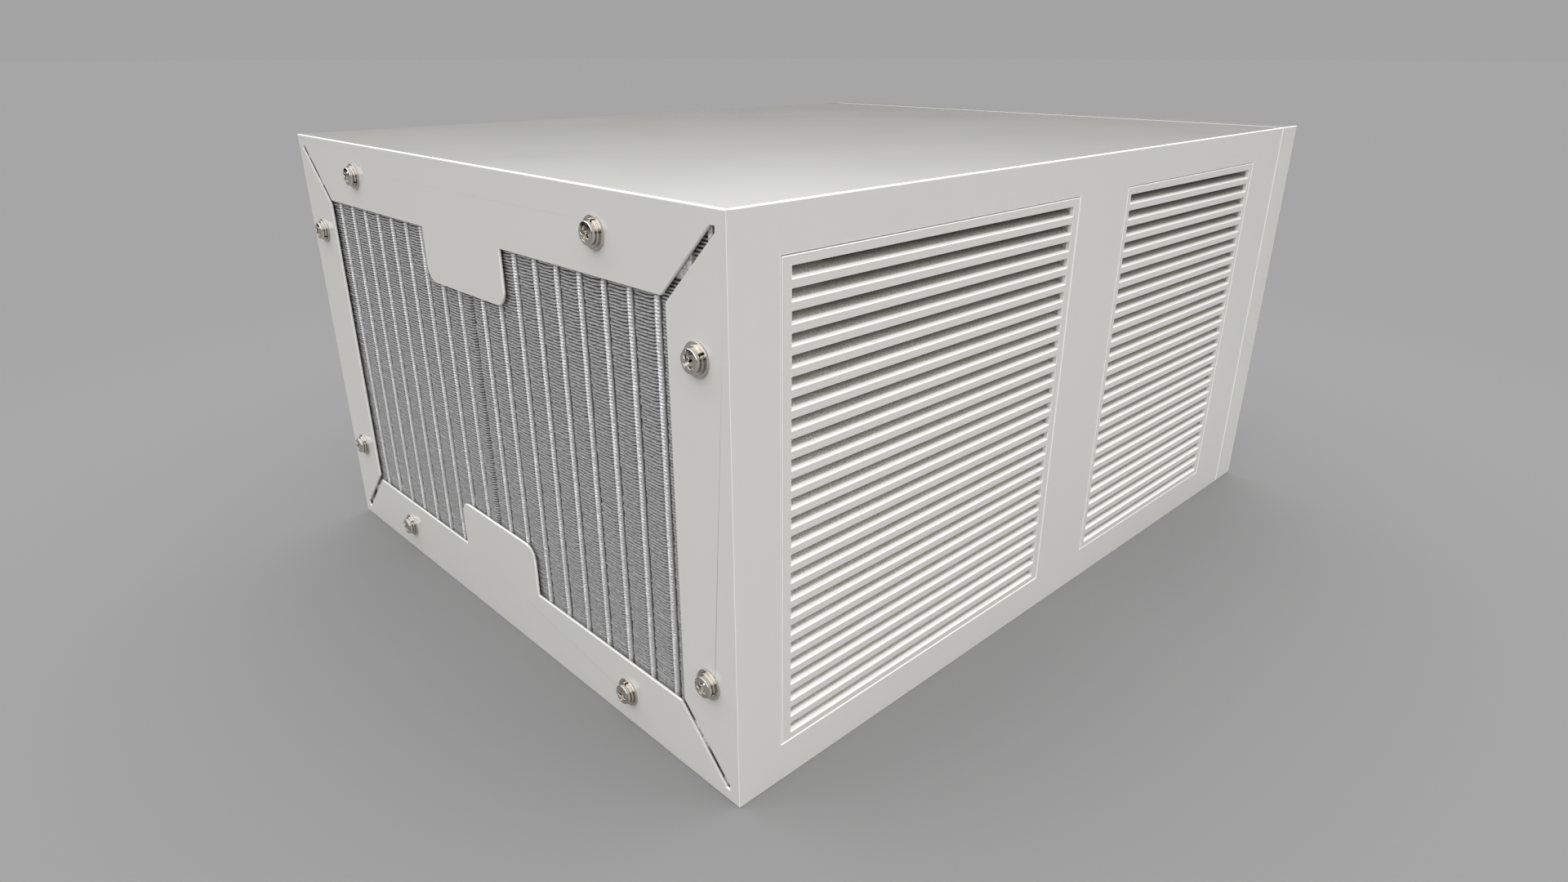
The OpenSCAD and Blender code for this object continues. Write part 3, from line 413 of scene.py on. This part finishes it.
def ease_edges(node, width):
    """Joins the CAD faces of a node along their edges and rounds its sharp edges."""
    piece = frame["nodes"][node]
    custom = piece.data.attributes.get("custom_normal")
    if custom:
        piece.data.attributes.remove(custom)
    piece.data.shade_smooth()
    weld = piece.modifiers.new("join faces", "WELD")
    weld.merge_threshold = 0.002 * MM
    flat = piece.modifiers.new("join flat faces", "DECIMATE")
    flat.decimate_type = "DISSOLVE"
    flat.angle_limit = math.radians(0.3)
    bevel = piece.modifiers.new("eased edges", "BEVEL")
    bevel.width = width
    bevel.segments = 2
    bevel.limit_method = "ANGLE"
    bevel.angle_limit = math.radians(28)
    bevel.use_clamp_overlap = False
    bevel.harden_normals = True


def dress_nodes():
    """Gives each CAD node its slot's material, and eases the edges of the larger and the visible ones."""
    for entry in frame["record"]["subparts"]:
        piece = frame["nodes"][entry["node"]]
        piece.data.materials.clear()
        piece.data.materials.append(MATERIALS[entry["material_slot"]].material)
    slotted = louvre_paint().material
    for node in LOUVRES:
        frame["nodes"][node].data.materials[0] = slotted
    for node, width in EASED.items():
        ease_edges(node, width * MM)


dress_nodes()

# ---------------------------------------------------------------- core

CORE_LOW, CORE_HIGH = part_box("core_fins")
TUBE_LOW, TUBE_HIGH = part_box("core_tubes")
# The core shows between its two tanks
CORE_Z0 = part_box("bottom_tank")[1].z
CORE_Z1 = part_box("top_tank")[0].z
TUBE_PITCH = 8.95 * MM
TUBE_X0 = 6.12 * MM
TUBE_COUNT = 10
TUBE_HALF = 0.86 * MM
TUBE_GAP = 0.14 * MM
PLATE_HALF = 0.6 * MM
FIN_SPACING = 0.72 * MM
FIN_THICK = 0.38 * MM
FIN_STEPS = 10
# How far behind the core's front the strip turns from one sheet to the next
FOLD_SETBACK = 1.5 * MM
# Between the outermost strips and the short ones beside the tanks
STRIP_GAP = 0.3 * MM
# The blocks that the side screws go into interrupt the outermost strips
BLOCK_HEIGHTS = (28 * MM, 100 * MM)
BLOCK_HALF = 6 * MM
FIN_SEED = 11
DENT_ROWS = 4


def add_piece(name, points, faces, slot):
    """A new piece of the object, with the material of one of the record's slots."""
    mesh = bpy.data.meshes.new(name)
    mesh.from_pydata(points, [], faces)
    mesh.shade_smooth()
    mesh.set_sharp_from_angle(angle=math.radians(40))
    piece = add_object(name, mesh)
    mesh.materials.append(MATERIALS[slot].material)
    return piece


def add_fin(points, faces, x0, x1, z, draw):
    """One sheet of the folded strip: a thin wavy bar from x0 to x1 at height z, as deep as the core."""
    start = len(points)
    back = CORE_HIGH.y
    half = FIN_THICK / 2
    phase = draw.uniform(0, 6.28)
    lean = draw.uniform(-0.06, 0.06) * MM
    front_shift = draw.uniform(0, 0.25) * MM
    for i in range(FIN_STEPS + 1):
        # The steps lie closer together towards both ends
        u = (1 - math.cos(math.pi * i / FIN_STEPS)) / 2
        x = x0 + (x1 - x0) * u
        ripple = (0.05 * math.sin(phase + 9 * u) + 0.05 * noise.noise((x * 900, 0, z * 900))) * MM
        zi = z + ripple + lean * (u - 0.5)
        # The strip stands back where it turns at the tubes
        ragged = 0.12 * noise.noise((x * 1700, 5, z * 2400)) * MM
        setback = (0.12 + 0.9 * abs(2 * u - 1) ** 9) * MM + front_shift + ragged
        front = CORE_LOW.y + setback
        points += [(x, front, zi + half), (x, front, zi - half), (x, back, zi - half), (x, back, zi + half)]
    for i in range(FIN_STEPS):
        a = start + 4 * i
        for k in range(4):
            m = (k + 1) % 4
            faces.append((a + k, a + m, a + 4 + m, a + 4 + k))
    faces.append(tuple(start + k for k in (3, 2, 1, 0)))
    end = start + 4 * FIN_STEPS
    faces.append(tuple(end + k for k in (0, 1, 2, 3)))


def add_fold(points, faces, x0, x1, z0, z1):
    """The turn that joins two sheets at one end of them."""
    front = CORE_LOW.y + FOLD_SETBACK
    start = len(points)
    for y in (front, CORE_HIGH.y):
        points += [(x0, y, z0), (x1, y, z0), (x1, y, z1), (x0, y, z1)]
    for quad in ((0, 1, 2, 3), (7, 6, 5, 4), (0, 4, 5, 1), (1, 5, 6, 2), (2, 6, 7, 3), (3, 7, 4, 0)):
        faces.append(tuple(start + k for k in quad))


def add_strip(points, faces, side, x0, x1, z0, z1, draw):
    """A strip folded to and fro between x0 and x1, from z0 up to z1."""
    count = round((z1 - z0) / FIN_SPACING)
    step = (z1 - z0) / count
    half = FIN_THICK / 2
    low, high = sorted((side * x0, side * x1))
    for i in range(count):
        z = z0 + (i + 0.5) * step
        add_fin(points, faces, low, high, z, draw)
        if i < count - 1:
            left = low if i % 2 else high - FIN_THICK
            add_fold(points, faces, left, left + FIN_THICK, z + half, z + step - half)


def fin_half(side):
    """The fins on one side of the middle plate."""
    draw = random.Random(FIN_SEED + side)
    points, faces = [], []
    tubes = [TUBE_X0 + k * TUBE_PITCH for k in range(TUBE_COUNT)]
    plate = abs(CORE_HIGH.x)
    beside = TUBE_HALF + TUBE_GAP
    add_strip(points, faces, side, PLATE_HALF, tubes[0] - beside, CORE_Z0, CORE_Z1, draw)
    for left, right in zip(tubes, tubes[1:]):
        add_strip(points, faces, side, left + beside, right - beside, CORE_Z0, CORE_Z1, draw)
    outer = tubes[-1] + beside
    lows = [CORE_Z0] + [height + BLOCK_HALF for height in BLOCK_HEIGHTS]
    highs = [height - BLOCK_HALF for height in BLOCK_HEIGHTS] + [CORE_Z1]
    for low, high in zip(lows, highs):
        add_strip(points, faces, side, outer, plate, low, high, draw)
    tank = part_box("top_tank")[1].x
    add_strip(points, faces, side, tank, plate, CORE_LOW.z, CORE_Z0 - STRIP_GAP, draw)
    add_strip(points, faces, side, tank, plate, CORE_Z1 + STRIP_GAP, CORE_HIGH.z, draw)
    name = "fins_right" if side > 0 else "fins_left"
    return add_piece(name, points, faces, "fin_aluminium")


def tube_section():
    """The outline of a flat tube: (x, y) with y measured from its front, and 1 where the nose swells."""
    r = TUBE_HALF
    depth = TUBE_HIGH.y - TUBE_LOW.y
    nose = [(-r * math.cos(a), r - r * math.sin(a), math.sin(a)) for a in
            (math.pi * k / 8 for k in range(9))]
    tail = [(r * math.cos(a), depth - r + r * math.sin(a), 0) for a in
            (math.pi * k / 2 for k in range(3))]
    return nose + tail


def tube_half(side):
    """The flat tubes on one side, their noses marked all the way up with small slanting dents."""
    points, faces = [], []
    section = tube_section()
    n = len(section)
    rows = round((CORE_Z1 - CORE_Z0) / FIN_SPACING) * DENT_ROWS
    for k in range(TUBE_COUNT):
        centre = side * (TUBE_X0 + k * TUBE_PITCH)
        start = len(points)
        for i in range(rows + 1):
            z = CORE_Z0 + (CORE_Z1 - CORE_Z0) * i / rows
            turn = 2 * math.pi * i / DENT_ROWS + 2.5 * noise.noise((centre * 90, 0, z * 90))
            for x, y, swell in section:
                wave = math.cos(turn + 2.4 * x / TUBE_HALF)
                rough = noise.noise((x * 1600 + k * 7, side * 5.0, z * 1500))
                press = math.sqrt(swell) * (0.15 * (1 - wave) + 0.06 * (1 + rough)) * MM
                points.append((centre + x * (1 - 0.05 * swell * rough), TUBE_LOW.y + y + press, z))
        for i in range(rows):
            a = start + n * i
            for j in range(n):
                m = (j + 1) % n
                faces.append((a + j, a + m, a + n + m, a + n + j))
        faces.append(tuple(start + j for j in reversed(range(n))))
        faces.append(tuple(start + n * rows + j for j in range(n)))
    name = "tubes_right" if side > 0 else "tubes_left"
    return add_piece(name, points, faces, "tube_aluminium")


def make_core():
    """The fins and tubes of both sides, in place of the CAD's plain ones."""
    for side in (-1, 1):
        for piece, node in ((fin_half(side), "core_fins"), (tube_half(side), "core_tubes")):
            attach(piece, "housing")
            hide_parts(node)


make_core()

# ---------------------------------------------------------------- floor and light

BACKDROP = 0.371
STAGE_RADIUS = 12.0
FLOOR_GREY = (0.199, 0.199, 0.199)
# A painted pool of light: a little paler under and close round the object
FLOOR_LIGHT_POOL = (0.221, 0.221, 0.221)
SKY_STRENGTH = 2.2
# The heights above the horizon, in degrees, between which the sky's light comes up
SKY_DARK = 5
SKY_FULL = 38
FILL_ENERGY = 0.09
FILL_SPREAD = math.radians(60)
FILL_HEADING = (-0.93, -0.15, -0.34)


def add_surface(name, points, faces, p):
    mesh = bpy.data.meshes.new(name)
    mesh.from_pydata(points, [], faces)
    mesh.materials.append(p.material)
    return add_object(name, mesh)


def circle(radius, count, z):
    turns = [2 * math.pi * k / count for k in range(count)]
    return [(radius * math.cos(turn), radius * math.sin(turn), z) for turn in turns]


def make_floor():
    p = Paint("floor grey", FLOOR_GREY, 0.9)
    p.set("Specular IOR Level", 0.0)
    away = p.node("VectorMath")
    away.operation = "LENGTH"
    p.link(p.place, away.inputs[0])
    # Paler near the object: a painted pool of light
    p.color(p.blend(p.between(away.outputs["Value"], 0, 1, 0.15, 0.5), FLOOR_LIGHT_POOL, FLOOR_GREY))
    p.rough(p.between(p.noise(40, 2), 0.88, 0.95))
    count = 96
    floor = add_surface("floor", circle(STAGE_RADIUS, count, 0), [tuple(range(count))], p)


def make_backdrop():
    """An even grey dome that only the camera sees. Its rim lies a little below the floor."""
    around, up = 48, 12
    points = [(0, 0, STAGE_RADIUS)]
    faces = []
    for i in range(1, up + 1):
        tilt = math.pi / 2 * i / up * 1.02
        points += circle(STAGE_RADIUS * math.sin(tilt), around, STAGE_RADIUS * math.cos(tilt))
    for k in range(around):
        m = (k + 1) % around
        faces.append((0, 1 + k, 1 + m))
        for i in range(up - 1):
            a, b = 1 + i * around, 1 + (i + 1) * around
            faces.append((a + k, b + k, b + m, a + m))
    p = Paint("backdrop grey", (0, 0, 0), 1.0)
    p.set("Specular IOR Level", 0.0)
    p.set("Emission Color", (1, 1, 1, 1))
    p.set("Emission Strength", BACKDROP)
    dome = add_surface("backdrop", points, faces, p)
    dome.visible_diffuse = False
    dome.visible_glossy = False
    dome.visible_transmission = False
    dome.visible_volume_scatter = False
    dome.visible_shadow = False


def make_sky():
    """Light from overhead that fades out towards the horizon."""
    world = bpy.data.worlds.new("studio")
    bpy.context.scene.world = world
    world.use_nodes = True
    tree = world.node_tree
    place = tree.nodes.new("ShaderNodeTexCoord")
    split = tree.nodes.new("ShaderNodeSeparateXYZ")
    tree.links.new(place.outputs["Generated"], split.inputs["Vector"])
    ramp = tree.nodes.new("ShaderNodeMapRange")
    ramp.interpolation_type = "SMOOTHSTEP"
    ramp.inputs["From Min"].default_value = math.sin(math.radians(SKY_DARK))
    ramp.inputs["From Max"].default_value = math.sin(math.radians(SKY_FULL))
    ramp.inputs["To Min"].default_value = 0.0
    ramp.inputs["To Max"].default_value = SKY_STRENGTH
    tree.links.new(split.outputs["Z"], ramp.inputs["Value"])
    tree.links.new(ramp.outputs["Result"], tree.nodes["Background"].inputs["Strength"])
    tree.nodes["Background"].inputs["Color"].default_value = (1, 1, 1, 1)


def make_fill():
    """A weak broad light, low on the right."""
    data = bpy.data.lights.new("fill", "SUN")
    data.energy = FILL_ENERGY
    data.angle = FILL_SPREAD
    look_along(add_object("fill", data), FILL_HEADING)


make_floor()
make_backdrop()
make_sky()
make_fill()
bpy.context.scene.view_settings.view_transform = "Standard"
